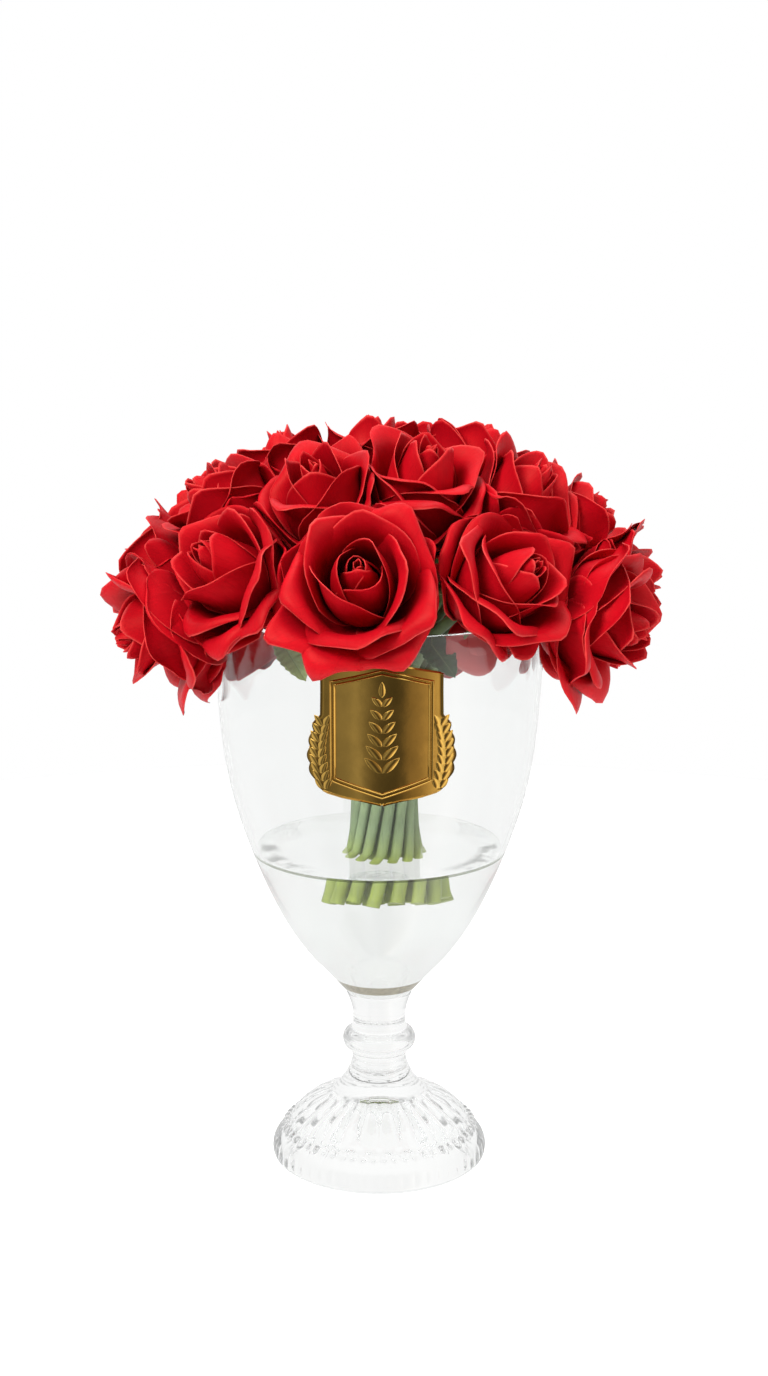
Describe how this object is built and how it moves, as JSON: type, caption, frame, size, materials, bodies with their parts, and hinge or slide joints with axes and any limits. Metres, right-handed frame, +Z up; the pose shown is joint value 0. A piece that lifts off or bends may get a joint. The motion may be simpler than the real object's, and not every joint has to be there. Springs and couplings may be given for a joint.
{
  "type": "bouquet of roses in a footed glass vase",
  "caption": "Dome of open red roses on a twisted bundle of green stems, set in clear resin that looks like water in a footed glass vase with a brass plaque",
  "frame": {"origin": "centre of the underside of the foot, on the vase's axis", "axes": "+Z up along the vase's axis; the front, with the plaque, faces -Y; +X is to the right seen from the front"},
  "size_m": [0.263, 0.2391, 0.3677],
  "materials": {
    "clear_glass": "polished",
    "clear_resin": "polished",
    "polished_brass": "polished",
    "red_petals": "satin",
    "green_stems": "satin",
    "green_leaves": "satin",
    "binding_tape": "matte"
  },
  "bodies": {
    "root": {"vase_bowl": "clear_glass", "vase_foot": "clear_glass", "resin_water": "clear_resin", "brass_plaque": "polished_brass", "stem_tie": "binding_tape", "rose_head_01": "red_petals", "rose_stem_01": "green_stems", "rose_head_02": "red_petals", "rose_stem_02": "green_stems", "rose_head_03": "red_petals", "rose_stem_03": "green_stems", "rose_head_04": "red_petals", "rose_stem_04": "green_stems", "rose_head_05": "red_petals", "rose_stem_05": "green_stems", "rose_head_06": "red_petals", "rose_stem_06": "green_stems", "rose_head_07": "red_petals", "rose_stem_07": "green_stems", "rose_head_08": "red_petals", "rose_stem_08": "green_stems", "rose_head_09": "red_petals", "rose_stem_09": "green_stems", "rose_head_10": "red_petals", "rose_stem_10": "green_stems", "rose_head_11": "red_petals", "rose_stem_11": "green_stems", "rose_head_12": "red_petals", "rose_stem_12": "green_stems", "rose_head_13": "red_petals", "rose_stem_13": "green_stems", "rose_head_14": "red_petals", "rose_stem_14": "green_stems", "rose_head_15": "red_petals", "rose_stem_15": "green_stems", "rose_head_16": "red_petals", "rose_stem_16": "green_stems", "rose_head_17": "red_petals", "rose_stem_17": "green_stems", "rose_head_18": "red_petals", "rose_stem_18": "green_stems", "rose_head_19": "red_petals", "rose_stem_19": "green_stems", "rose_head_20": "red_petals", "rose_stem_20": "green_stems", "rose_head_21": "red_petals", "rose_stem_21": "green_stems", "rose_head_22": "red_petals", "rose_stem_22": "green_stems", "rose_head_23": "red_petals", "rose_stem_23": "green_stems", "rose_head_24": "red_petals", "rose_stem_24": "green_stems", "rose_head_25": "red_petals", "rose_stem_25": "green_stems", "rose_head_26": "red_petals", "rose_stem_26": "green_stems", "leaf_right": "green_leaves", "leaf_left": "green_leaves", "leaf_back": "green_leaves"}
  },
  "joints": []
}
